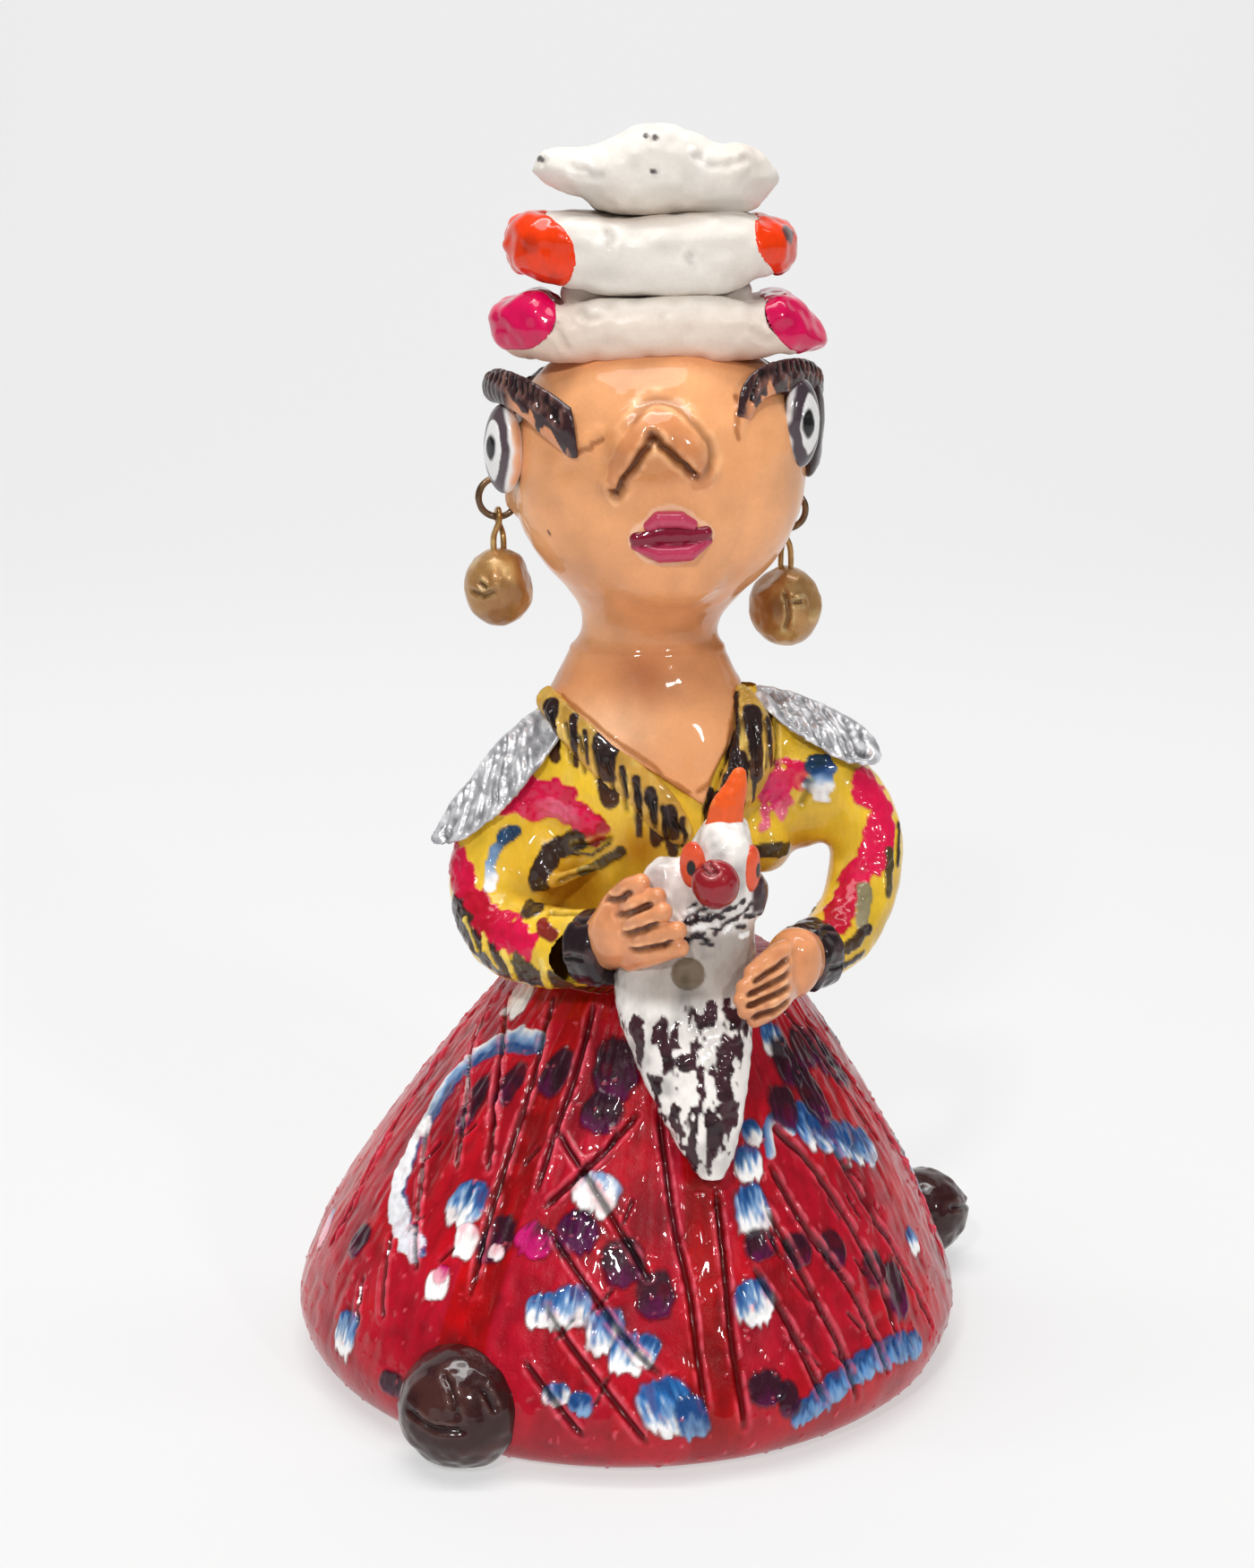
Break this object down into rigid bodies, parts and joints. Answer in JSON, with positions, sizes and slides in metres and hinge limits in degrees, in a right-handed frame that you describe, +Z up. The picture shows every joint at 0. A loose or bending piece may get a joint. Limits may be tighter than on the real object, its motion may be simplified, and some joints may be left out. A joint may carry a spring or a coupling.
{
  "type": "folk art figurine",
  "caption": "Hand-modelled painted clay folk figure of a woman in a wide bell skirt, holding a turkey, with stacked cloth rolls on her head and swinging bead earrings.",
  "frame": {"origin": "centre of the flat foot ring under the skirt, on the table", "axes": "+Z up; -Y is the way the figure faces; +X is the viewer's right"},
  "size_m": [0.1169, 0.1117, 0.2],
  "materials": {
    "skirt_paint": "crimson paint under a glossy varnish, with incised lines",
    "shoe_paint": "dark brown paint under a glossy varnish",
    "blouse_paint": "yellow paint under a glossy varnish",
    "collar_paint": "ochre paint with dark strokes, varnished",
    "silver_paint": "silver metallic paint on embossed clay",
    "dark_paint": "blackish brown paint, varnished",
    "skin_paint": "light tan paint under a glossy varnish",
    "lip_paint": "dark pink paint, glossy",
    "eye_paint": "white paint with a black pupil, varnished",
    "roll_white": "white paint, satin",
    "roll_magenta": "magenta paint, glossy",
    "roll_orange": "orange paint, glossy",
    "turkey_paint": "white paint mottled with black, varnished",
    "snood_paint": "dark red paint, glossy",
    "turkey_eye_paint": "orange-red paint, glossy",
    "ring_wire": "darkened brass wire",
    "hook_wire": "brass wire rubbed with gold paint",
    "bead_paint": "old-gold metallic paint over clay"
  },
  "bodies": {
    "figure": {"skirt_shell": "skirt_paint", "left_shoe": "shoe_paint", "right_shoe": "shoe_paint", "blouse_body": "blouse_paint", "left_collar": "collar_paint", "right_collar": "collar_paint", "left_shoulder_ruffle": "silver_paint", "right_shoulder_ruffle": "silver_paint", "left_sleeve": "blouse_paint", "right_sleeve": "blouse_paint", "left_cuff": "dark_paint", "right_cuff": "dark_paint", "left_hand": "skin_paint", "right_hand": "skin_paint", "head_and_neck": "skin_paint", "nose": "skin_paint", "upper_lip": "lip_paint", "lower_lip": "lip_paint", "left_eye": "eye_paint", "right_eye": "eye_paint", "left_eyebrow": "dark_paint", "right_eyebrow": "dark_paint", "hair_back": "dark_paint", "lower_roll": "roll_white", "lower_roll_left_tip": "roll_magenta", "lower_roll_right_tip": "roll_magenta", "middle_roll": "roll_white", "middle_roll_left_tip": "roll_orange", "middle_roll_right_tip": "roll_orange", "upper_roll": "roll_white", "turkey_body": "turkey_paint", "turkey_comb": "roll_orange", "turkey_snood": "snood_paint", "turkey_left_eye": "turkey_eye_paint", "turkey_right_eye": "turkey_eye_paint"},
    "left_ring": {"left_ear_ring": "ring_wire"},
    "left_drop": {"left_drop_hook": "hook_wire", "left_drop_bead": "bead_paint"},
    "right_ring": {"right_ear_ring": "ring_wire"},
    "right_drop": {"right_drop_hook": "hook_wire", "right_drop_bead": "bead_paint"}
  },
  "joints": [
    {"name": "left_ring_turn", "type": "hinge", "parent": "figure", "child": "left_ring", "pos_m": [-0.0204, -0.0016, 0.1424], "axis": [-0.2079, 0.9781, 0], "range_deg": [-6, 35]},
    {"name": "left_drop_swing", "type": "hinge", "parent": "left_ring", "child": "left_drop", "pos_m": [-0.0204, -0.0016, 0.1393], "axis": [0.9781, 0.2079, 0], "range_deg": [-45, 45]},
    {"name": "right_ring_turn", "type": "hinge", "parent": "figure", "child": "right_ring", "pos_m": [0.026, 0.01, 0.1389], "axis": [0.2079, 0.9781, 0], "range_deg": [-35, 6]},
    {"name": "right_drop_swing", "type": "hinge", "parent": "right_ring", "child": "right_drop", "pos_m": [0.026, 0.01, 0.1358], "axis": [0.9781, -0.2079, 0], "range_deg": [-28, 45]}
  ]
}
